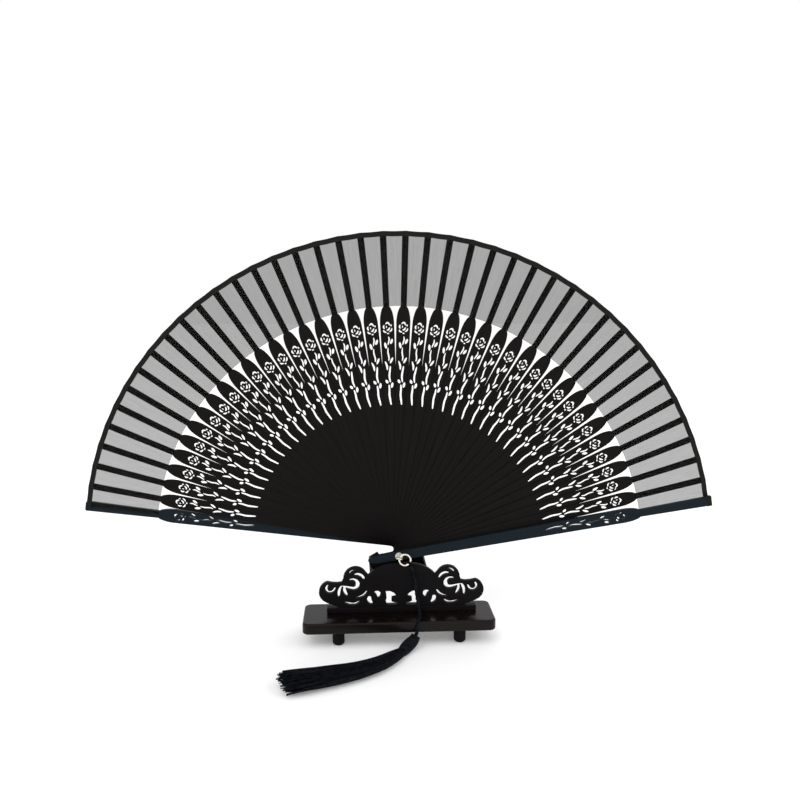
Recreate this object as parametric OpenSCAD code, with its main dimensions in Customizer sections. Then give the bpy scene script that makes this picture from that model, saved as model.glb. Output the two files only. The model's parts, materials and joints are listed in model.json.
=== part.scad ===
// Folding fan with pierced ribs and a sheer leaf, open on its scroll display stand.
// Origin: centre of the stand's footprint box on the table. +Z up, the front faces -Y.

/* [Sticks] */
// Angle between neighbouring sticks when the fan is open
stick_step = 3.97; // [2:0.01:4]
// Lean of the whole open fan to the left
fan_lean = 0.6; // [-2:0.1:2]
// Reach of a stick past the rivet, to its rounded head
head_reach = 18.8; // [16:0.1:18.8]
// Length over which a stick's head tapers to its round end
head_taper = 7.7; // [3:0.1:10]
// Reach of a rib from the rivet to the tip of its tongue
rib_reach = 191.6; // [185:0.1:192]
// Reach of a guard from the rivet to its tip
guard_reach = 193.4; // [193:0.1:200]
// Width of a stick at the rivet
stick_w = 5.4; // [5:0.1:6]
// Growth of a stick's width per millimetre of radius
stick_flare = 0.022; // [0.018:0.001:0.024]
// Thickness of a rib
rib_t = 0.45; // [0.35:0.01:0.47]
// Distance from one rib's layer to the next
layer_pitch = 0.55; // [0.55:0.01:0.6]
// Thickness of a guard
guard_t = 2.4; // [1.5:0.1:2.6]
// Width of a rib's tongue where it leaves the shoulder
tongue_w = 3.6; // [3:0.1:4]
// Width of a guard's tongue where it leaves the shoulder
guard_root_w = 4.4; // [4:0.1:5]
// Width of a guard's tongue at the tip
guard_tip_w = 5.8; // [5:0.1:6.4]

/* [Leaf] */
// Inner radius of the leaf
leaf_in = 148.8; // [148.8:0.1:152]
// Outer radius of the leaf's border
leaf_out = 192.8; // [192:0.1:194]
// Width of the border along the rim
border_w = 3; // [2:0.1:5]
// Thickness of the leaf
leaf_t = 0.1; // [0.08:0.01:0.12]
// Thickness of the border
border_t = 0.2; // [0.15:0.01:0.22]

/* [Rivet] */
// Radius of the rivet's pin
rivet_r = 1.5; // [1.2:0.05:1.6]
// Radial running clearance of the sticks on the pin
rivet_fit = 0.05; // [0.02:0.01:0.1]
// Mean radius of the tassel's ring
ring_r = 3.5; // [3:0.1:4]
// Radius of the ring's wire
ring_wire = 0.5; // [0.4:0.05:0.55]

/* [Stand] */
// Length of the base board
base_w = 114; // [108:1:130]
// Depth of the base board
base_d = 31; // [31:0.5:36]
// Thickness of the base board
base_h = 6.6; // [6:0.1:9]
// Height of the feet
foot_h = 8.4; // [6:0.1:10]
// Radius of a foot
foot_r = 3.6; // [3.2:0.1:5]
// Height of the rivet above the base board
rivet_rise = 33.9; // [33.9:0.1:36]
// Thickness of the scroll panel
panel_t = 2.5; // [2:0.1:2.7]
// Height of the plinth under the panel
plinth_h = 3.4; // [3:0.1:3.8]
// Length of the plinth
plinth_w = 90; // [84:1:96]

/* [Hidden] */
$fn = 48;
last = 41;
mid = last / 2;

// places along Z and Y, the sticks' stack and the stand's parts
base_z = foot_h;
deck_z = foot_h + base_h;
rivet_z = deck_z + rivet_rise;
rivet_x = 0.5;
base_y = -8.7;
panel_x = 2;
panel_y = base_y + 0.5;
stack_y = panel_y + panel_t + 0.4;
rib_half = (mid - 1) * layer_pitch + rib_t / 2;
guard_gap = 0.5;
guard_in = rib_half + guard_gap;
guard_out = guard_in + guard_t;
fan_y = stack_y + guard_out;
leaf_off = rib_t / 2 + 0.25;

// outline of a stick
shoulder_r = 139;
tongue_r = 148.8;
bore_r = rivet_r + rivet_fit;

function two(k) = str(k < 10 ? "0" : "", k);
function stick_name(k) = k == 0 ? "guard_rear" : k == last ? "guard_front" : str("rib_", two(k));
function angle_of(k) = 90 + fan_lean + (mid - k) * stick_step;
function layer_of(k) = fan_y + (mid - k) * layer_pitch;

// ---------- curves shared by the pierced work ----------

// point on a smooth curve through the points p, at t from 0 to 1
function seg_at(p, t) = min(len(p) - 2, floor(t * (len(p) - 1)));
function pick(p, i) = p[max(0, min(len(p) - 1, i))];
function catmull(a, b, c, d, u) =
    0.5 * (2 * b + (c - a) * u + (2 * a - 5 * b + 4 * c - d) * u * u + (3 * b - a - 3 * c + d) * u * u * u);
function curve_at(p, t) = let (i = seg_at(p, t), u = t * (len(p) - 1) - i)
    catmull(pick(p, i - 1), p[i], p[i + 1], pick(p, i + 2), u);
function along(p, t) = let (d = curve_at(p, min(1, t + 0.02)) - curve_at(p, max(0, t - 0.02))) d / norm(d);

// width of a cut along its length: full in the middle, narrow at the ends
function taper(t, tip) = tip + (1 - tip) * pow(sin(180 * t), 0.6);

// a curved cut of width w through the points p, with n steps
module cut(p, w, tip = 0.35, n = 4) {
    side = [for (i = [0:n]) let (t = i / n, c = curve_at(p, t), d = along(p, t), h = w / 2 * taper(t, tip))
        [c + h * [-d[1], d[0]], c - h * [-d[1], d[0]]]];
    polygon(concat([for (s = side) s[0]], [for (i = [n:-1:0]) side[i][1]]));
}

// ---------- sticks ----------

// half the width of a stick at radius r; root and tip are the tongue's widths
function body_half(r) = (stick_w + stick_flare * r) / 2;
function shoulder_half(r, root) = let (t = (r - shoulder_r) / (tongue_r - shoulder_r))
    root / 2 + (body_half(shoulder_r) - root / 2) * pow(max(0, 1 - t * t), 0.7);

// one side of a stick, from the head to the tip, as [radius, half width]
function stick_side(reach, root, tip) = let (h = body_half(-head_reach)) concat(
    [for (a = [180:-15:105]) [-head_reach + head_taper * (1 + cos(a)), h * sin(a)]],
    [[-head_reach + head_taper, h], [0, body_half(0)], [60, body_half(60)], [shoulder_r, body_half(shoulder_r)]],
    [for (i = [1:8]) let (r = shoulder_r + (tongue_r - shoulder_r) * sin(90 * i / 8))
        [r, shoulder_half(r, root)]],
    [[reach - 0.6, tip / 2], [reach, tip / 2 - 0.6]]
);

module stick_outline(reach, root, tip) {
    s = stick_side(reach, root, tip);
    polygon(concat([for (p = s) [p[0], p[1]]], [for (i = [len(s) - 1:-1:1]) [s[i][0], -s[i][1]]]));
}

// pierced spray on a stick: x runs out along the stick, y runs anticlockwise
module spray() {
    // three stems, from the inner end out
    cut([[89.9, -0.2], [92.5, 0.15], [96, 0.6], [99.5, 0.4], [102.1, 0.6]], 1.15, 0.5, 8);
    cut([[103.6, -0.4], [107, 0.1], [110.3, -0.3], [113.3, -0.8]], 1.1, 0.5, 7);
    cut([[116.5, 0.1], [118.5, -0.25], [121.5, 0.3], [124.4, 0.1]], 0.85, 0.5, 6);
    // leaves in pairs
    cut([[100.2, -0.9], [101.8, -1.3], [103.5, -1.6]], 1.5, 0.2);
    cut([[103, 1.1], [104.1, 1.7], [105.2, 2.3]], 1.5, 0.2);
    cut([[111, 1.15], [113.5, 1.2], [116.4, 2.3]], 1.15, 0.25);
    cut([[115, -0.7], [116.7, -1.6], [118.5, -2.5]], 1.25, 0.2);
    cut([[123.9, 1.15], [125.7, 1.5], [127.6, 1.9]], 1.5, 0.2);
    cut([[126.6, -1.4], [128, -2.1], [129.6, -2.75]], 1.45, 0.2);
    // forked tip
    cut([[126, 0.1], [127.6, -0.35], [129.4, -0.8], [131, -0.5]], 0.85, 0.4, 6);
    rose();
}

// rose of eight cuts round a broken spiral
module rose() {
    cut([[138.4, 1.1], [139.3, 0], [138.9, -0.9], [137.6, -1.5]], 1, 0.3, 6);
    cut([[138, 1.8], [136.8, 2.25], [135.6, 1.7]], 0.95, 0.3);
    cut([[137.4, 0.6], [136.8, 0.4], [136.2, 0.6]], 0.55, 0.5);
    cut([[138.2, -2.2], [137, -2.4]], 0.75, 0.3);
    cut([[134.9, 0.4], [135.1, -0.7], [136.5, -1.5]], 0.95, 0.35);
    cut([[136, -2.7], [134.7, -2.4], [133.8, -1.1]], 0.85, 0.3);
    cut([[135, 2.4], [134, 1.9], [133.5, 0.5]], 0.9, 0.3);
    cut([[132.9, 0.3], [132.9, -0.9]], 0.8, 0.3);
}

// a stick's plate at its angle and layer
module plate(k, y, t, reach, root, tip) {
    translate([rivet_x, y, rivet_z]) rotate([90, 0, 0]) rotate([0, 0, angle_of(k)])
        linear_extrude(height = t, center = true) difference() {
            stick_outline(reach, root, tip);
            circle(r = bore_r);
            spray();
        }
}

module rib(k) {
    color([0.11, 0.1, 0.1]) plate(k, layer_of(k), rib_t, rib_reach, tongue_w, tongue_w + 0.3);
}

module guard(k) {
    y = fan_y + (k == 0 ? 1 : -1) * (guard_in + guard_out) / 2;
    color([0.2, 0.22, 0.25]) plate(k, y, guard_t, guard_reach, guard_root_w, guard_tip_w);
}

// ---------- leaf ----------

// the leaf runs just in front of every rib, and ends behind the front guard
leaf_steps = 2;
function leaf_layer(u) = layer_of(min(u, last - 1)) - leaf_off;

// a thin band between the radii r0 and r1, climbing from layer to layer
module band(r0, r1, t) {
    n = last * leaf_steps;
    pts = [for (i = [0:n]) let (u = i / leaf_steps, a = angle_of(u), y = leaf_layer(u))
        for (c = [[r0, t / 2], [r1, t / 2], [r1, -t / 2], [r0, -t / 2]])
            [rivet_x + c[0] * cos(a), y + c[1], rivet_z + c[0] * sin(a)]];
    sides = [for (i = [0:n - 1]) for (j = [0:3]) let (a = 4 * i + j, b = 4 * i + (j + 1) % 4)
        each [[a, b, b + 4], [a, b + 4, a + 4]]];
    ends = [[0, 2, 1], [0, 3, 2], [4 * n, 4 * n + 1, 4 * n + 2], [4 * n, 4 * n + 2, 4 * n + 3]];
    polyhedron(points = pts, faces = concat(sides, ends), convexity = 4);
}

module leaf() {
    color([0.45, 0.46, 0.45]) band(leaf_in, leaf_out - border_w, leaf_t);
}

module leaf_border() {
    color([0.15, 0.15, 0.15]) band(leaf_out - border_w, leaf_out, border_t);
}

// ---------- rivet and ring ----------

washer_r = 2.2;
washer_t = 0.5;
pin_front = fan_y - guard_out - 0.1 - washer_t;
pin_rear = fan_y + guard_out + 0.1 + washer_t;
cap_r = 2.8;
cap_h = 1;
eye_r = 1.6;
eye_wire = 0.5;
eye_y = panel_y - 1.2;
ring_turn = 159;
ring_x = rivet_x - ring_r * cos(ring_turn);
ring_z = rivet_z - ring_r * sin(ring_turn);

// a round bar of radius r along Y from y0 to y1, on the rivet's axis
module bar(r, y0, y1) {
    translate([rivet_x, y1, rivet_z]) rotate([90, 0, 0]) cylinder(r = r, h = y1 - y0);
}

module torus(major, wire) {
    rotate_extrude() translate([major, 0]) circle(r = wire);
}

module rivet_pin() {
    color([0.75, 0.75, 0.72]) bar(rivet_r, pin_front, pin_rear);
}

module washer(y0) {
    color([0.8, 0.8, 0.78]) difference() {
        bar(washer_r, y0, y0 + washer_t);
        bar(bore_r, y0 - 1, y0 + washer_t + 1);
    }
}

module washer_front() {
    washer(pin_front);
}

module washer_rear() {
    washer(pin_rear - washer_t);
}

// domed head that closes the pin at the rear
module rivet_cap() {
    color([0.8, 0.8, 0.78]) translate([rivet_x, pin_rear, rivet_z]) rotate([-90, 0, 0])
        rotate_extrude() polygon(concat([[0, 0]], [for (a = [0:15:90]) [cap_r * cos(a), cap_h * sin(a)]]));
}

// collar, shank and eye at the pin's front end
module rivet_eye() {
    color([0.8, 0.8, 0.78]) union() {
        bar(2, pin_front - 0.6, pin_front);
        bar(1, eye_y + eye_r - eye_wire / 2, pin_front - 0.5);
        translate([rivet_x, eye_y, rivet_z]) rotate([0, 180 - ring_turn, 0]) torus(eye_r, eye_wire);
    }
}

module tassel_ring() {
    color([0.82, 0.8, 0.72]) translate([ring_x, eye_y, ring_z]) rotate([90, 0, 0]) torus(ring_r, ring_wire);
}

// ---------- tassel ----------

cord_r = 1.1;
cord_sides = 8;

// route of the cord's centre line, from the ring to the tassel's head
cord_route = [
    [7.2, -9.9, 44.2], [8.4, -10, 41], [9.4, -10.2, 37], [10.1, -10.4, 32], [10.8, -10.6, 27],
    [11.5, -10.9, 22.5], [12.1, -12, 19], [12.4, -14.2, 16.8], [12.4, -17, 16.3], [12, -20, 16.3],
    [11.4, -23, 16.3], [10.9, -25, 15.4], [10.4, -25.9, 13.2], [9.8, -26, 10.2], [9.2, -26.3, 7.6]
];
// route of the bound head, then of the fringe on the table
head_route = [[9.2, -26.3, 7.6], [7.6, -27.6, 5.4], [5, -30, 4], [2.4, -33.6, 3.2], [0.2, -37.4, 3]];
fringe_route = [
    [0.2, -37.4, 3], [-5, -43.6, 3], [-12.7, -51.6, 3], [-23.8, -59, 3], [-34.4, -63.4, 3],
    [-45, -67, 3], [-55.2, -70.4, 3], [-63, -73, 3]
];

// closed skin over rings of n points each
module skin(rings) {
    n = len(rings[0]);
    m = len(rings);
    pts = [for (r = rings) each r];
    walls = [for (i = [0:m - 2]) for (j = [0:n - 1]) let (a = n * i + j, b = n * i + (j + 1) % n)
        each [[a, b + n, b], [a, a + n, b + n]]];
    polyhedron(points = pts, faces = concat(
        [[for (j = [0:n - 1]) j]], walls, [[for (j = [n - 1:-1:0]) n * (m - 1) + j]]), convexity = 4);
}

// ring of n points round the route p at t, w wide and h high
function ring_at(p, t, n, w, h) = let (
    c = curve_at(p, t), d = along(p, t),
    s = cross(d, abs(d[2]) > 0.8 ? [0, 1, 0] : [0, 0, 1]), side = s / norm(s), up = cross(side, d))
    [for (j = [0:n - 1]) c + w * cos(360 * j / n) * side + h * sin(360 * j / n) * up];

module tassel_cord() {
    color([0.1, 0.1, 0.12])
        skin([for (i = [0:28]) ring_at(cord_route, i / 28, cord_sides, cord_r, cord_r)]);
}

module tassel_head() {
    color([0.12, 0.12, 0.14]) skin([for (i = [0:10]) let (t = i / 10, r = 2.2 + 0.6 * sin(180 * t))
        ring_at(head_route, t, 12, r, r)]);
}

module tassel_fringe() {
    color([0.12, 0.13, 0.15]) skin([for (i = [0:14]) let (t = i / 14)
        ring_at(fringe_route, t, 12, 2.2 + 6.3 * pow(t, 0.8), 2.2 + 0.5 * sin(180 * t))]);
}

// ---------- stand ----------

foot_x = 36;
foot_y = 9.5;
dowel_r = 0.9;
dowel_x = 30;
dowel_deep = 4;
corner_r = 4;

// base board with rounded corners and a softened upper edge
module stand_base() {
    color([0.13, 0.11, 0.11]) difference() {
        translate([0, base_y, base_z]) hull() {
            for (x = [-1, 1], y = [-1, 1])
                translate([x * (base_w / 2 - corner_r), y * (base_d / 2 - corner_r), 0]) {
                    cylinder(r = corner_r - 0.6, h = base_h, $fn = 32);
                    translate([0, 0, 0.6]) cylinder(r = corner_r, h = base_h - 1.2, $fn = 32);
                }
        }
        for (x = [-1, 1]) translate([panel_x + x * dowel_x, panel_y + panel_t / 2, deck_z - dowel_deep])
            cylinder(r = dowel_r + 0.02, h = dowel_deep + 1);
    }
}

// four turned feet, glued under the corners
module stand_feet() {
    color([0.13, 0.11, 0.11]) for (x = [-1, 1], y = [-1, 1])
        translate([x * foot_x, base_y + y * foot_y, 0]) rotate_extrude() foot_profile();
}

module foot_profile() {
    polygon(concat([[0, 0], [foot_r - 2, 0]],
        [for (a = [-75:15:0]) [foot_r - 2 + 2 * cos(a), 2 + 2 * sin(a)]],
        [[foot_r, foot_h - 2], [foot_r - 0.8, foot_h], [0, foot_h]]));
}

module stand_plinth() {
    color([0.12, 0.1, 0.1]) difference() {
        translate([panel_x - plinth_w / 2, panel_y - 1.3, deck_z]) cube([plinth_w, panel_t + 2.6, plinth_h]);
        for (x = [-1, 1]) translate([panel_x + x * dowel_x, panel_y + panel_t / 2, deck_z - 1])
            cylinder(r = dowel_r + 0.02, h = plinth_h + 2);
    }
}

// pins that tie the panel to the plinth and the base
module stand_dowels() {
    color([0.6, 0.5, 0.35]) for (x = [-1, 1])
        translate([panel_x + x * dowel_x, panel_y + panel_t / 2, deck_z - dowel_deep + 0.2])
            cylinder(r = dowel_r, h = dowel_deep + plinth_h - 0.4);
}

// half outline of the scroll panel: x from the middle line, y up from the deck
dome_top = 30.2;
dome_edge = 20.2;
function dome_at(x) = dome_top - (dome_top - 23.2) * pow(x / dome_edge, 3.2);
ball = [27.8, 21.1];
ball_r = 7.3;
function ball_at(a) = ball + ball_r * [cos(a), sin(a)];
panel_half = concat(
    [for (x = [0:4:16]) [x, dome_at(x)]],
    [[18.2, dome_at(18.2)], [dome_edge, 23.2]],
    [for (a = [150:-15:0]) ball_at(a)],
    [[36, 19], [38.5, 18.6], [41.5, 18.8], [44, 19.3]],
    [for (a = [75:-15:-15]) [43, 13] + 6.7 * [cos(a), sin(a)]],
    [[48.7, 9.4], [47, 7.6], [44.6, 6.2], [41.6, 5.1], [39, 4.2], [37.8, plinth_h]]
);

module panel_holes() {
    // curl in the outer lobe
    cut([[44.3, 17.6], [45.3, 15.5], [44.5, 13.5], [42.8, 13], [41, 13.9], [39.9, 16]], 1.5, 0.35, 14);
    // spiral with its two prongs
    cut([[31.6, 20.2], [29.2, 20.6], [27.2, 19.6], [26.4, 17.9], [26.9, 16], [28.6, 15],
        [31, 15.3], [33.8, 16], [36.6, 16.4]], 2.3, 0.35, 22);
    cut([[36.2, 16.8], [37.6, 13.6], [37.9, 9.7]], 1.6, 0.3, 6);
    cut([[34.6, 15.8], [34.1, 13], [32.7, 10.4]], 1.9, 0.3, 6);
    // crescents in the ball and under the spiral
    cut([[28.7, 23.4], [26.2, 23.7], [23.8, 22.5], [22.5, 20.3]], 2.1, 0.25, 10);
    cut([[31.6, 24.1], [30.7, 25.4], [29.2, 26.3], [27.7, 26.5]], 1, 0.3, 8);
    cut([[21, 13.4], [22.6, 11.2], [24.8, 9.9], [27.9, 9.2]], 1.35, 0.3, 10);
    cut([[34.4, 6.6], [31.4, 5.6], [28.4, 5.4], [25.3, 7]], 1.6, 0.3, 10);
    // teardrop and comma
    cut([[19.2, 10], [19.6, 7.6], [17.8, 5]], 2.6, 0.25, 8);
    polygon([[17, 12.4], [15.8, 13.2], [14.2, 13.3], [13, 12.5], [12.7, 11], [13.3, 9.4], [14.3, 8.6],
        [14.9, 10], [15.6, 11.2]]);
    // stepped opening beside the middle post
    polygon([[9.8, 13], [7, 13], [4.8, 11.9], [3.3, 10.2], [3.6, 9.5], [6.1, 8.9], [6.2, 6.6],
        [4.8, 5.9], [2.8, 5.7], [2.8, 4.1], [8.8, 4.1], [9.7, 6.7], [9.1, 9], [9.3, 11]]);
}

// scroll panel that the fan's heads stand behind
module stand_panel() {
    half = [for (i = [len(panel_half) - 1:-1:1]) [-panel_half[i][0], panel_half[i][1]]];
    color([0.14, 0.12, 0.12]) translate([panel_x, panel_y + panel_t, deck_z]) rotate([90, 0, 0])
        linear_extrude(height = panel_t) difference() {
            polygon(concat(half, panel_half));
            panel_holes();
            mirror([1, 0, 0]) panel_holes();
        }
}

// round trough behind the panel that carries the heads, with a lip at the rear
cradle_in = 19.2;
cradle_wall = 1.2;
cradle_lip = 14;
cradle_half = 60;
lip_t = 1.4;
cradle_len = guard_out * 2 + 0.4 + 0.4 + lip_t;

module stand_cradle() {
    outer = cradle_in + cradle_wall;
    color([0.12, 0.1, 0.1]) translate([rivet_x, panel_y + panel_t + cradle_len, rivet_z])
        rotate([90, 0, 0]) rotate([0, 0, 270 - cradle_half]) rotate_extrude(angle = 2 * cradle_half)
            polygon([[cradle_lip, 0], [outer, 0], [outer, cradle_len], [cradle_in, cradle_len],
                [cradle_in, lip_t], [cradle_lip, lip_t]]);
}

stand_base();
stand_feet();
stand_plinth();
stand_panel();
stand_cradle();
stand_dowels();
guard(0);  // guard_rear
for (k = [1:last - 1]) rib(k);
guard(last);  // guard_front
leaf();
leaf_border();
rivet_pin();
rivet_cap();
rivet_eye();
washer_front();
washer_rear();
tassel_ring();
tassel_cord();
tassel_head();
tassel_fringe();
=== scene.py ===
import json
import math
import random

import bpy
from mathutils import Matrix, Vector

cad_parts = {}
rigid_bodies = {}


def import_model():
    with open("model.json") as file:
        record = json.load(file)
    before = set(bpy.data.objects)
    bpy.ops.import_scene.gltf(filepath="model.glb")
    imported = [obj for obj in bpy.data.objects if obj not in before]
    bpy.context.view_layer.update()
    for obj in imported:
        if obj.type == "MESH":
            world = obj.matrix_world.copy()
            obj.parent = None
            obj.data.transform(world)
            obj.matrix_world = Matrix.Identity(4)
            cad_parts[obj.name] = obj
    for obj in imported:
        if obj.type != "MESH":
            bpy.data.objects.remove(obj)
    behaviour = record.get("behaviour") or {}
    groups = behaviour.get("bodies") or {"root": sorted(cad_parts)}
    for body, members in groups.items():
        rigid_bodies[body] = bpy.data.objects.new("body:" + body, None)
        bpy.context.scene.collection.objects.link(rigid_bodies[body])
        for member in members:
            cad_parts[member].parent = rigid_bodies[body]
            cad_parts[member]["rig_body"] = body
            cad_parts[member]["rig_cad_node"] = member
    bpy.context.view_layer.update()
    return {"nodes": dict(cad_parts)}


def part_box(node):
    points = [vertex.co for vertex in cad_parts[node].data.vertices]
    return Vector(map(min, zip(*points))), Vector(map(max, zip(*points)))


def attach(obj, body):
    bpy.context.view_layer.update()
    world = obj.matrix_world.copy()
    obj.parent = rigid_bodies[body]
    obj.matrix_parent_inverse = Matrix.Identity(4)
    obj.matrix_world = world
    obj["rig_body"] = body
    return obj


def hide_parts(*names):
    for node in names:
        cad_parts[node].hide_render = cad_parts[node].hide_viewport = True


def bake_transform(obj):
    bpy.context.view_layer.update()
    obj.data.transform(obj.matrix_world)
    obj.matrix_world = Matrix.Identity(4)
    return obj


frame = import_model()
nodes = frame["nodes"]

MM = 0.001
LAST = 41
STICK_STEP = 3.97
FAN_LEAN = 0.6
RIVET = Vector((0.5, 0.0, 48.9)) * MM
FAN_Y = 8.55 * MM
LAYER_PITCH = 0.55 * MM
LEAF_OFF = 0.475 * MM
LEAF_IN = 148.8 * MM
LEAF_OUT = 192.8 * MM
BORDER_W = 3.0 * MM
RIM_SAG = 0.3 * MM
HEM_RISE = 0.25 * MM
CREASE = 0.08 * MM
CLOTH_T = 0.1 * MM
RIBBON_T = 0.22 * MM


# ---------- camera ----------

bpy.ops.object.camera_add(
    location=(-0.02589, -0.46781, 0.20981),
    rotation=(math.radians(81.87), 0, math.radians(-3.34)),
)
camera = bpy.context.object
camera.data.lens = 36
camera.data.sensor_width = 36
camera.data.clip_start = 0.01
camera.data.clip_end = 50
bpy.context.scene.camera = camera
bpy.context.scene.view_settings.view_transform = "Standard"


# ---------- small helpers ----------


def clear_selection():
    """Nothing selected and nothing in edit mode."""
    if bpy.context.object and bpy.context.object.mode != "OBJECT":
        bpy.ops.object.mode_set(mode="OBJECT")
    bpy.ops.object.select_all(action="DESELECT")


def only(piece):
    """Makes the piece the one selected, active object."""
    clear_selection()
    piece.select_set(True)
    bpy.context.view_layer.objects.active = piece


def settle(piece, name):
    """Names a piece and moves its place into its mesh."""
    only(piece)
    bpy.ops.object.transform_apply(location=True, rotation=True, scale=True)
    piece.name = name
    piece.data.name = name
    return piece


def apply_modifier(piece, kind, **values):
    """Adds a modifier, sets it and applies it."""
    only(piece)
    bpy.ops.object.modifier_add(type=kind)
    modifier = piece.modifiers[-1]
    for key, value in values.items():
        setattr(modifier, key, value)
    bpy.ops.object.modifier_apply(modifier=modifier.name)


def smooth(piece, angle=35):
    """Smooth shading with the sharp edges kept."""
    only(piece)
    bpy.ops.object.shade_smooth_by_angle(angle=math.radians(angle))


def flat_faced(piece, angle=30):
    """Smooth bevels beside large faces that stay flat."""
    smooth(piece, angle)
    apply_modifier(piece, "WEIGHTED_NORMAL", weight=100, keep_sharp=True)


def pick_edges(piece, wanted):
    """Selects the edges whose two ends pass the test, and leaves edit mode open."""
    only(piece)
    bpy.ops.object.mode_set(mode="EDIT")
    bpy.ops.mesh.select_all(action="DESELECT")
    bpy.ops.mesh.select_mode(type="EDGE")
    bpy.ops.object.mode_set(mode="OBJECT")
    points = piece.data.vertices
    for edge in piece.data.edges:
        a, b = (points[i].co for i in edge.vertices)
        edge.select = wanted(a, b)
    bpy.ops.object.mode_set(mode="EDIT")


def join(parts, name):
    """Joins several objects into one piece."""
    clear_selection()
    for part in parts:
        part.select_set(True)
    bpy.context.view_layer.objects.active = parts[0]
    bpy.ops.object.join()
    return settle(parts[0], name)


def mesh_piece(name, points, faces):
    """A piece from points in metres and faces."""
    mesh = bpy.data.meshes.new(name)
    mesh.from_pydata([tuple(p) for p in points], [], faces)
    mesh.update()
    piece = bpy.data.objects.new(name, mesh)
    bpy.context.scene.collection.objects.link(piece)
    return piece


def carried_copy(node, name):
    """A merged copy of a CAD node, with its flat faces made whole again."""
    piece = nodes[node].copy()
    piece.data = nodes[node].data.copy()
    piece.parent = None
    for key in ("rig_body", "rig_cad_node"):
        if key in piece:
            del piece[key]
    bpy.context.scene.collection.objects.link(piece)
    piece.name = name
    piece.data.name = name
    only(piece)
    bpy.ops.object.mode_set(mode="EDIT")
    bpy.ops.mesh.select_all(action="SELECT")
    bpy.ops.mesh.remove_doubles(threshold=0.00001)
    bpy.ops.mesh.dissolve_limited(angle_limit=math.radians(0.5))
    bpy.ops.object.mode_set(mode="OBJECT")
    return piece


def finish_piece(piece, body, material, replaced=()):
    """Gives a piece its body and finish, and hides the CAD nodes it replaces."""
    piece.data.materials.clear()
    piece.data.materials.append(material)
    if body:
        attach(piece, body)
    if replaced:
        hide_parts(*replaced)
    return piece


# ---------- finishes ----------


def shader_of(name, color, roughness, metallic=0.0, specular=0.5):
    """A new finish, its node tree, its shader and its Object coordinates."""
    material = bpy.data.materials.new(name)
    material.use_nodes = True
    tree = material.node_tree
    shader = tree.nodes["Principled BSDF"]
    shader.inputs["Base Color"].default_value = (*color, 1)
    shader.inputs["Roughness"].default_value = roughness
    shader.inputs["Metallic"].default_value = metallic
    shader.inputs["Specular IOR Level"].default_value = specular
    place = tree.nodes.new("ShaderNodeTexCoord")
    return material, tree, shader, place.outputs["Object"]


def noise(tree, vector, scale, detail=3.0, stretch=(1, 1, 1)):
    """Noise on a stretched copy of the coordinates."""
    mapping = tree.nodes.new("ShaderNodeMapping")
    mapping.inputs["Scale"].default_value = stretch
    tree.links.new(vector, mapping.inputs["Vector"])
    node = tree.nodes.new("ShaderNodeTexNoise")
    node.inputs["Scale"].default_value = scale
    node.inputs["Detail"].default_value = detail
    tree.links.new(mapping.outputs["Vector"], node.inputs["Vector"])
    return node.outputs["Fac"]


def ramp(tree, value, stops):
    """Colours between the stops, as (place, colour)."""
    node = tree.nodes.new("ShaderNodeValToRGB")
    elements = node.color_ramp.elements
    while len(elements) < len(stops):
        elements.new(0.5)
    for element, (at, color) in zip(elements, stops):
        element.position = at
        element.color = (*color, 1)
    tree.links.new(value, node.inputs["Fac"])
    return node.outputs["Color"]


def spread(tree, value, low, high):
    """Maps 0 to 1 onto low to high."""
    node = tree.nodes.new("ShaderNodeMapRange")
    node.inputs["From Min"].default_value = 0.3
    node.inputs["From Max"].default_value = 0.7
    node.inputs["To Min"].default_value = low
    node.inputs["To Max"].default_value = high
    tree.links.new(value, node.inputs["Value"])
    return node.outputs["Result"]


def bump(tree, shader, value, distance, strength=1.0):
    """Raises the surface by the value."""
    node = tree.nodes.new("ShaderNodeBump")
    node.inputs["Strength"].default_value = strength
    node.inputs["Distance"].default_value = distance
    tree.links.new(value, node.inputs["Height"])
    tree.links.new(node.outputs["Normal"], shader.inputs["Normal"])


def math_node(tree, operation, a, b=None):
    """One step of arithmetic; a number or an output for each side."""
    node = tree.nodes.new("ShaderNodeMath")
    node.operation = operation
    for socket, value in zip(node.inputs, (a, b)):
        if value is None:
            continue
        if isinstance(value, (int, float)):
            socket.default_value = value
        else:
            tree.links.new(value, socket)
    return node.outputs["Value"]


def fan_coordinates(tree, place):
    """Vector of radius from the rivet in metres, turn in radians, and depth."""
    parts = tree.nodes.new("ShaderNodeSeparateXYZ")
    tree.links.new(place, parts.inputs["Vector"])
    x = math_node(tree, "SUBTRACT", parts.outputs["X"], RIVET.x)
    z = math_node(tree, "SUBTRACT", parts.outputs["Z"], RIVET.z)
    square = math_node(
        tree, "ADD", math_node(tree, "MULTIPLY", x, x), math_node(tree, "MULTIPLY", z, z)
    )
    radius = math_node(tree, "SQRT", square)
    turn = math_node(tree, "ARCTAN2", z, x)
    whole = tree.nodes.new("ShaderNodeCombineXYZ")
    tree.links.new(radius, whole.inputs["X"])
    tree.links.new(turn, whole.inputs["Y"])
    tree.links.new(parts.outputs["Y"], whole.inputs["Z"])
    return whole.outputs["Vector"]


def stained_wood(name, dark, light, roughness, specular):
    """Stained wood with its grain running out along each stick."""
    material, tree, shader, place = shader_of(name, dark, roughness, specular=specular)
    polar = fan_coordinates(tree, place)
    grain = noise(tree, polar, 60, 4, (0.6, 14, 20))
    tree.links.new(ramp(tree, grain, [(0.3, dark), (0.7, light)]), shader.inputs["Base Color"])
    rough = spread(tree, grain, roughness - 0.06, roughness + 0.1)
    tree.links.new(rough, shader.inputs["Roughness"])
    bump(tree, shader, grain, 0.00004)
    return material


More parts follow.
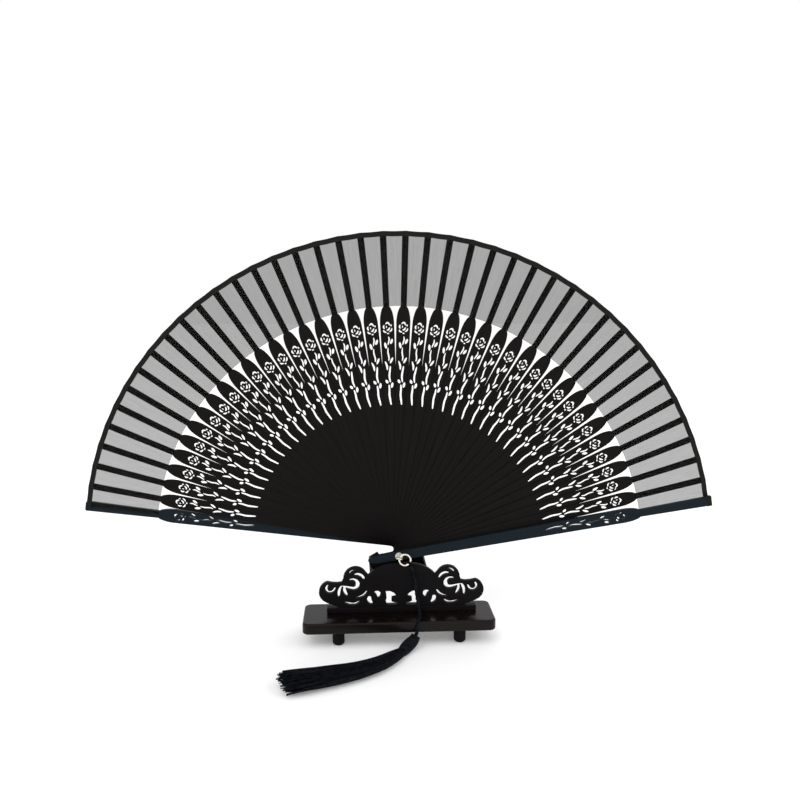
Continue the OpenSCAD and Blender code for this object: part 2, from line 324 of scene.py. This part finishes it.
def lacquer(name, dark, light, roughness, specular, coat):
    """Dark lacquer over wood, a little uneven."""
    material, tree, shader, place = shader_of(name, dark, roughness, specular=specular)
    cloud = noise(tree, place, 40, 3, (0.4, 1, 1))
    tree.links.new(ramp(tree, cloud, [(0.35, dark), (0.65, light)]), shader.inputs["Base Color"])
    fine = noise(tree, place, 900, 3, (0.2, 1, 1))
    rough = spread(tree, fine, roughness - 0.03, roughness + 0.05)
    tree.links.new(rough, shader.inputs["Roughness"])
    bump(tree, shader, fine, 0.00001, 0.1)
    shader.inputs["Coat Weight"].default_value = coat
    shader.inputs["Coat Roughness"].default_value = 0.12
    return material


def metal(name, color, roughness):
    """Polished metal with a faint wear."""
    material, tree, shader, place = shader_of(name, color, roughness, metallic=1.0)
    wear = noise(tree, place, 700, 3)
    tree.links.new(spread(tree, wear, roughness * 0.7, roughness * 1.5), shader.inputs["Roughness"])
    return material


def gauze(name, color, cover):
    """Sheer woven gauze; cover is how much of the light each face stops."""
    material, tree, shader, place = shader_of(name, color, 0.8, specular=0.05)
    polar = fan_coordinates(tree, place)
    threads = noise(tree, polar, 90, 3, (1, 9, 1))
    tree.links.new(spread(tree, threads, cover - 0.03, cover + 0.03), shader.inputs["Alpha"])
    return material


def thread(name, dark, light, roughness):
    """Silky thread."""
    material, tree, shader, place = shader_of(name, dark, roughness, specular=0.05)
    strands = noise(tree, place, 500, 2)
    tree.links.new(ramp(tree, strands, [(0.35, dark), (0.65, light)]), shader.inputs["Base Color"])
    return material


# Rib finish: the light streaks are partly real wood grain and partly painted sheen streaks.
rib_grain_and_sheen = stained_wood(
    "rib_grain_and_sheen", (0.0028, 0.0023, 0.0024), (0.0135, 0.0112, 0.0108), 0.5, 0.035
)
# Guard finish: dark lacquered wood with grain, and its blue-grey tone is a painted sheen.
guard_grain_and_blue_sheen = stained_wood(
    "guard_grain_and_blue_sheen", (0.004, 0.0085, 0.013), (0.0075, 0.0135, 0.019), 0.36, 0.08
)
panel_lacquer = lacquer(
    "panel_lacquer", (0.0058, 0.005, 0.0057), (0.0088, 0.0078, 0.0088), 0.4, 0.035, 0.0
)
board_lacquer = lacquer(
    "board_lacquer", (0.0045, 0.0028, 0.0028), (0.0068, 0.0044, 0.0042), 0.25, 0.1, 0.1
)
leaf_gauze = gauze("leaf_gauze", (0.012, 0.012, 0.011), 0.385)
border_ribbon, _tree, _shader, _place = shader_of(
    "border_ribbon", (0.011, 0.011, 0.01), 0.85, specular=0.1
)
bump(_tree, _shader, noise(_tree, _place, 1500, 2), 0.00005)
bright_steel = metal("bright_steel", (0.8, 0.78, 0.73), 0.2)
ring_plate = metal("ring_plate", (0.86, 0.8, 0.68), 0.12)
cord_thread = thread("cord_thread", (0.0025, 0.0028, 0.0038), (0.0085, 0.01, 0.0135), 0.5)
fringe_thread = thread(
    "fringe_thread", (0.0018, 0.0023, 0.0032), (0.0075, 0.0092, 0.0125), 0.55
)
plain_dowel = stained_wood("plain_dowel", (0.25, 0.17, 0.09), (0.36, 0.26, 0.15), 0.6, 0.3)


# ---------- tassel ----------

CORD_ROUTE = [
    (7.2, -9.9, 44.2), (8.4, -10, 41), (9.4, -10.2, 37), (10.1, -10.4, 32), (10.8, -10.6, 27),
    (11.5, -10.9, 22.5), (12.1, -12, 19), (12.4, -14.2, 16.8), (12.4, -17, 16.3), (12, -20, 16.3),
    (11.4, -23, 16.3), (10.9, -25, 15.4), (10.4, -25.9, 13.2), (9.8, -26, 10.2), (9.2, -26.3, 7.6),
]
HEAD_ROUTE = [
    (9.2, -26.3, 7.6), (7.6, -27.6, 5.4), (5, -30, 4), (2.4, -33.6, 3.2), (0.2, -37.4, 3),
]
FRINGE_ROUTE = [
    (0.2, -37.4, 3), (-5, -43.6, 3), (-12.7, -51.6, 3), (-23.8, -59, 3), (-34.4, -63.4, 3),
    (-45, -67, 3), (-55.2, -70.4, 3), (-63, -73, 3),
]


def in_metres(route):
    """Route points as vectors in metres."""
    return [Vector(p) * MM for p in route]


def on_curve(route, t):
    """Point at t from 0 to 1 on the smooth curve through the route."""
    t = min(1.0, max(0.0, t))
    i = min(len(route) - 2, int(t * (len(route) - 1)))
    u = t * (len(route) - 1) - i
    a, b, c, d = (route[max(0, min(len(route) - 1, i + j))] for j in (-1, 0, 1, 2))
    return 0.5 * (
        2 * b + (c - a) * u + (2 * a - 5 * b + 4 * c - d) * u * u + (3 * b - a - 3 * c + d) * u ** 3
    )


def even_points(route, step):
    """Points along the curve, about a step apart."""
    fine = [on_curve(route, i / 600) for i in range(601)]
    run = [0.0]
    for a, b in zip(fine, fine[1:]):
        run.append(run[-1] + (b - a).length)
    count = max(2, round(run[-1] / step))
    points, j = [], 0
    for i in range(count + 1):
        target = run[-1] * i / count
        while j < len(fine) - 2 and run[j + 1] < target:
            j += 1
        share = (target - run[j]) / max(1e-9, run[j + 1] - run[j])
        points.append(fine[j].lerp(fine[j + 1], min(1.0, share)))
    return points


def tube(name, points, sides, radius_at):
    """Closed tube along points; radius_at(run, angle) gives its radius."""
    rings, run = [], 0.0
    side = None
    for i, point in enumerate(points):
        ahead = points[min(len(points) - 1, i + 1)] - points[max(0, i - 1)]
        ahead.normalize()
        if side is None:
            side = ahead.orthogonal()
        side = (side - ahead * side.dot(ahead)).normalized()
        up = ahead.cross(side)
        if i:
            run += (point - points[i - 1]).length
        ring = []
        for j in range(sides):
            angle = 2 * math.pi * j / sides
            r = radius_at(run, angle)
            ring.append(point + side * (r * math.cos(angle)) + up * (r * math.sin(angle)))
        rings.append(ring)
    verts = [p for ring in rings for p in ring]
    faces = []
    for i in range(len(rings) - 1):
        for j in range(sides):
            a, b = sides * i + j, sides * i + (j + 1) % sides
            faces.append((a, b, b + sides, a + sides))
    faces.append(tuple(range(sides - 1, -1, -1)))
    top = sides * (len(rings) - 1)
    faces.append(tuple(range(top, top + sides)))
    return mesh_piece(name, verts, faces)


CORD_R = 1.1 * MM
CORD_TURN = 8.4 * MM
whole_route = even_points(in_metres(CORD_ROUTE), 0.35 * MM)
whole_route += even_points(in_metres(HEAD_ROUTE), 0.35 * MM)[1:]
inner = [on_curve(in_metres(FRINGE_ROUTE), i / 200) for i in range(1, 90)]
whole_route += inner


def strand_radius(run, angle):
    """Three strands laid round each other."""
    return CORD_R * (0.74 + 0.32 * abs(math.cos(1.5 * (angle - 2 * math.pi * run / CORD_TURN))))


tassel_cord = tube("twisted_cord", whole_route, 24, strand_radius)
smooth(tassel_cord, 50)
finish_piece(tassel_cord, "fan_core", cord_thread, ["tassel_cord"])

head_points = even_points(in_metres(HEAD_ROUTE), 0.12 * MM)
head_length = sum((b - a).length for a, b in zip(head_points, head_points[1:]))


def head_radius(run, angle):
    """The bound head swells in the middle and shows its winding."""
    share = run / head_length
    rise, around = run / (1.1 * MM), angle / math.pi
    wind = max(abs(math.sin(math.pi * (rise + around))), abs(math.sin(math.pi * (rise - around))))
    return (2.4 + 0.85 * math.sin(math.pi * share)) * MM + 0.42 * MM * wind


tassel_head = tube("bound_head", head_points, 28, head_radius)
smooth(tassel_head, 60)
finish_piece(tassel_head, "fan_core", cord_thread, ["tassel_head"])

random.seed(7)
fringe_route = in_metres(FRINGE_ROUTE)


def fringe_frame(t):
    """Centre, sideways direction, half width and half height of the fringe at t."""
    here, ahead = on_curve(fringe_route, t), on_curve(fringe_route, min(1, t + 0.02))
    back = on_curve(fringe_route, max(0, t - 0.02))
    along = (ahead - back).normalized()
    across = along.cross(Vector((0, 0, 1))).normalized()
    half_w = (2.3 + 7.2 * t ** 0.7) * MM
    half_h = (2.2 + 2.3 * t ** 0.8) * MM
    return here, along, across, half_w, half_h


def fringe_strand(spot_x, spot_z, reach, stray, thick, beads=15):
    """Points of one thread: its place across the bundle, how far it reaches, how it strays."""
    points = []
    sway, phase = random.uniform(-1, 1), random.uniform(0, 6.28)
    for i in range(beads):
        t = reach * i / (beads - 1)
        here, along, across, half_w, half_h = fringe_frame(min(t, 1))
        over = max(0.0, t - 1) * 60 * MM
        wave = 0.8 * math.sin(phase + 9 * t) * MM * t + stray * t * t * MM
        x = spot_x * half_w * (1 + 0.06 * math.sin(phase + 4 * t)) + wave
        z = spot_z * half_h + half_h - 2.2 * MM - 0.4 * MM * t
        point = here + across * x + along * over + Vector((0, 0, z + sway * 0.2 * MM))
        point.z = max(thick + 0.05 * MM, point.z)
        points.append(point)
    return points


strands = []
THREADS = 420
for n in range(THREADS):
    angle = random.uniform(0, 2 * math.pi)
    far = math.sqrt(random.uniform(0.1, 1))
    loose = n % 12 == 0
    thick = random.uniform(0.2, 0.3) * MM
    points = fringe_strand(
        far * math.cos(angle),
        far * math.sin(angle),
        random.uniform(0.86, 1.04) if not loose else random.uniform(0.8, 1.08),
        random.uniform(-3.4, 3.4) if loose else random.uniform(-1.3, 1.3),
        thick,
    )
    strands.append(tube(f"strand_{n}", points, 5, lambda run, angle, r=thick: r))
fringe = join(strands, "thread_fringe")
smooth(fringe, 80)
finish_piece(fringe, "fan_core", fringe_thread, ["tassel_fringe"])


def ring_piece(name, centre, major, minor, rotation):
    """A round ring."""
    clear_selection()
    bpy.ops.mesh.primitive_torus_add(
        location=centre, rotation=rotation, major_radius=major, minor_radius=minor,
        major_segments=64, minor_segments=20,
    )
    piece = settle(bpy.context.object, name)
    smooth(piece, 80)
    return piece


low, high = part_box("tassel_ring")
ring_centre = (low + high) / 2
RING_WIRE = 0.62 * MM
ring_major = (high.x - low.x) / 2 - RING_WIRE
ring = ring_piece("split_ring", ring_centre, ring_major, RING_WIRE, (math.pi / 2, 0, 0))
finish_piece(ring, "fan_core", ring_plate, ["tassel_ring"])

loops = []
for turn in (-38, -24):
    a = math.radians(turn)
    spot = ring_centre + ring_major * Vector((math.cos(a), 0, math.sin(a)))
    loops.append(ring_piece(f"cord_loop_{-turn}", spot, 0.95 * MM, 0.42 * MM, (0, -a, 0)))
cord_loop = join(loops, "cord_loop")
finish_piece(cord_loop, "fan_core", cord_thread)


# ---------- leaf ----------


def turn_of(u):
    """Turn of a place on the leaf, in radians; u counts the sticks from the left."""
    return math.radians(90 + FAN_LEAN + (20.5 - u) * STICK_STEP)


def leaf_layer(u):
    """Depth of the leaf, just in front of the ribs."""
    return FAN_Y + (20.5 - min(u, LAST - 1)) * LAYER_PITCH - LEAF_OFF


def leaf_strip(name, k, r_in, r_out, across, rows, thickness, lift, sag):
    """One fold of cloth between stick k and the next, with a soft crease along its middle."""
    clear_selection()
    bpy.ops.mesh.primitive_grid_add(x_subdivisions=across, y_subdivisions=rows, size=2)
    strip = bpy.context.object
    for vertex in strip.data.vertices:
        u = (vertex.co.x + 1) / 2
        share = (vertex.co.y + 1) / 2
        crease = 1 - abs(2 * u - 1)
        radius = r_in + (r_out - r_in) * share
        radius += sag(u, share)
        turn = turn_of(k + u)
        y = leaf_layer(k + u) - lift * crease
        vertex.co = (RIVET.x + radius * math.cos(turn), y, RIVET.z + radius * math.sin(turn))
    strip = settle(strip, name)
    apply_modifier(strip, "SOLIDIFY", thickness=thickness, offset=0)
    only(strip)
    bpy.ops.object.mode_set(mode="EDIT")
    bpy.ops.mesh.select_all(action="SELECT")
    bpy.ops.mesh.normals_make_consistent(inside=False)
    bpy.ops.object.mode_set(mode="OBJECT")
    return strip


for k in range(LAST):
    cloth = leaf_strip(
        f"leaf_fold_{k:02d}", k, LEAF_IN, LEAF_OUT - BORDER_W, 9, 6, CLOTH_T, CREASE,
        lambda u, share: math.sin(math.pi * u) * (HEM_RISE * (1 - share) - RIM_SAG * share),
    )
    ribbon = leaf_strip(
        f"rim_ribbon_{k:02d}", k, LEAF_OUT - BORDER_W, LEAF_OUT, 9, 3, RIBBON_T, CREASE,
        lambda u, share: -RIM_SAG * math.sin(math.pi * u),
    )
    for piece, finish, slot, node in (
        (cloth, leaf_gauze, "leaf_gauze", "leaf"),
        (ribbon, border_ribbon, "border_ribbon", "leaf_border"),
    ):
        finish_piece(piece, None, finish, [node])
        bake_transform(piece)


# ---------- sticks ----------

for k in range(1, LAST):
    node = nodes[f"rib_{k:02d}"]
    node.data.materials.clear()
    node.data.materials.append(rib_grain_and_sheen)

for node, body in (("guard_rear", "rear_guard_stick"), ("guard_front", "front_guard_stick")):
    guard = carried_copy(node, node + "_stick")
    apply_modifier(
        guard, "BEVEL", width=0.22 * MM, segments=2, limit_method="ANGLE",
        angle_limit=math.radians(50),
    )
    flat_faced(guard)
    finish_piece(guard, body, guard_grain_and_blue_sheen, [node])

SLEEVE_IN = 190.4 * MM
SLEEVE_OUT = 193.7 * MM
SLEEVE_HALF = 3.1 * MM
low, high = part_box("guard_front")
tip_turn = turn_of(LAST)
out = Vector((math.cos(tip_turn), 0, math.sin(tip_turn)))
side = Vector((-out.z, 0, out.x))
corners = [
    Vector((RIVET.x, y, RIVET.z)) + out * r + side * w
    for y in (low.y - 0.15 * MM, high.y + 0.1 * MM)
    for r, w in (
        (SLEEVE_IN, -SLEEVE_HALF), (SLEEVE_OUT, -SLEEVE_HALF),
        (SLEEVE_OUT, SLEEVE_HALF), (SLEEVE_IN, SLEEVE_HALF),
    )
]
sleeve = mesh_piece(
    "tip_ribbon", corners,
    [(0, 1, 2, 3), (7, 6, 5, 4), (0, 4, 5, 1), (1, 5, 6, 2), (2, 6, 7, 3), (3, 7, 4, 0)],
)
only(sleeve)
bpy.ops.object.mode_set(mode="EDIT")
bpy.ops.mesh.select_all(action="SELECT")
bpy.ops.mesh.normals_make_consistent(inside=False)
bpy.ops.object.mode_set(mode="OBJECT")
apply_modifier(sleeve, "BEVEL", width=0.3 * MM, segments=3)
smooth(sleeve, 40)
finish_piece(sleeve, "front_guard_stick", border_ribbon)

for name in ("rivet_pin", "rivet_cap", "rivet_eye", "washer_front", "washer_rear"):
    nodes[name].data.materials.clear()
    nodes[name].data.materials.append(bright_steel)


# ---------- stand ----------


def block(name, node, corner, edge, segments=4):
    """A board as big as its CAD node, with round corners and softened edges."""
    low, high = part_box(node)
    clear_selection()
    bpy.ops.mesh.primitive_cube_add(size=1, location=(low + high) / 2)
    board = bpy.context.object
    board.scale = high - low
    board = settle(board, name)
    if corner:
        pick_edges(board, lambda a, b: abs(a.z - b.z) > 0.5 * (high.z - low.z))
        bpy.ops.mesh.bevel(offset=corner, segments=8, affect="EDGES")
        bpy.ops.object.mode_set(mode="OBJECT")
    flat = (high.z - low.z) * 0.01
    pick_edges(
        board, lambda a, b: abs(a.z - b.z) < flat and (a.z > high.z - flat or a.z < low.z + flat)
    )
    bpy.ops.mesh.bevel(offset=edge, segments=segments, affect="EDGES")
    bpy.ops.object.mode_set(mode="OBJECT")
    flat_faced(board, 40)
    return board


base_board = block("base_board", "stand_base", 4 * MM, 1.1 * MM)
finish_piece(base_board, "stand", board_lacquer, ["stand_base"])
plinth_bar = block("plinth_bar", "stand_plinth", 0.5 * MM, 0.4 * MM, 3)
finish_piece(plinth_bar, "stand", panel_lacquer, ["stand_plinth"])

panel = carried_copy("stand_panel", "scroll_panel")
apply_modifier(
    panel, "BEVEL", width=0.25 * MM, segments=2, limit_method="ANGLE", angle_limit=math.radians(50)
)
flat_faced(panel)
finish_piece(panel, "stand", panel_lacquer, ["stand_panel"])

FOOT_R = 3.6 * MM
FOOT_H = 8.4 * MM
feet = []
low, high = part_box("stand_feet")
for x in (low.x + FOOT_R, high.x - FOOT_R):
    for y in (low.y + FOOT_R, high.y - FOOT_R):
        clear_selection()
        bpy.ops.mesh.primitive_cylinder_add(
            vertices=40, radius=FOOT_R, depth=FOOT_H, location=(x, y, FOOT_H / 2)
        )
        foot = settle(bpy.context.object, "foot")
        pick_edges(foot, lambda a, b: max(a.z, b.z) < 0.01 * MM)
        bpy.ops.mesh.bevel(offset=1.9 * MM, segments=6, affect="EDGES")
        bpy.ops.object.mode_set(mode="OBJECT")
        pick_edges(foot, lambda a, b: min(a.z, b.z) > FOOT_H - 0.01 * MM)
        bpy.ops.mesh.bevel(offset=0.8 * MM, segments=3, affect="EDGES")
        bpy.ops.object.mode_set(mode="OBJECT")
        feet.append(foot)
feet = join(feet, "turned_feet")
smooth(feet, 40)
finish_piece(feet, "stand", panel_lacquer, ["stand_feet"])

for name, finish in (("stand_cradle", panel_lacquer), ("stand_dowels", plain_dowel)):
    nodes[name].data.materials.clear()
    nodes[name].data.materials.append(finish)


# ---------- floor, backdrop and light ----------

clear_selection()
bpy.ops.mesh.primitive_plane_add(size=8, location=(0, 0, 0))
floor = settle(bpy.context.object, "floor")
paper, _tree, _shader, _place = shader_of("backdrop_paper", (0.93, 0.93, 0.93), 0.9, specular=0.1)
_shader.inputs["Emission Color"].default_value = (1, 1, 1, 1)
_shader.inputs["Emission Strength"].default_value = 0.14
floor.data.materials.append(paper)

world = bpy.data.worlds.new("studio")
bpy.context.scene.world = world
world.use_nodes = True
world.node_tree.nodes["Background"].inputs["Color"].default_value = (1, 1, 1, 1)
world.node_tree.nodes["Background"].inputs["Strength"].default_value = 1.0


def softbox(name, place, aim, size, power):
    """A soft square light."""
    clear_selection()
    bpy.ops.object.light_add(type="AREA", location=place)
    light = bpy.context.object
    light.name = name
    light.data.shape = "SQUARE"
    light.data.size = size
    light.data.energy = power
    light.rotation_mode = "QUATERNION"
    light.rotation_quaternion = (Vector(aim) - Vector(place)).to_track_quat("-Z", "Y")
    return light


softbox("key_light", (-0.7, -0.9, 1.4), (0, 0, 0.08), 0.9, 4)
softbox("fill_light", (1.1, -0.6, 0.9), (0, 0, 0.08), 0.8, 2)
softbox("top_light", (0, 0.5, 1.6), (0, 0, 0.05), 1.0, 3)
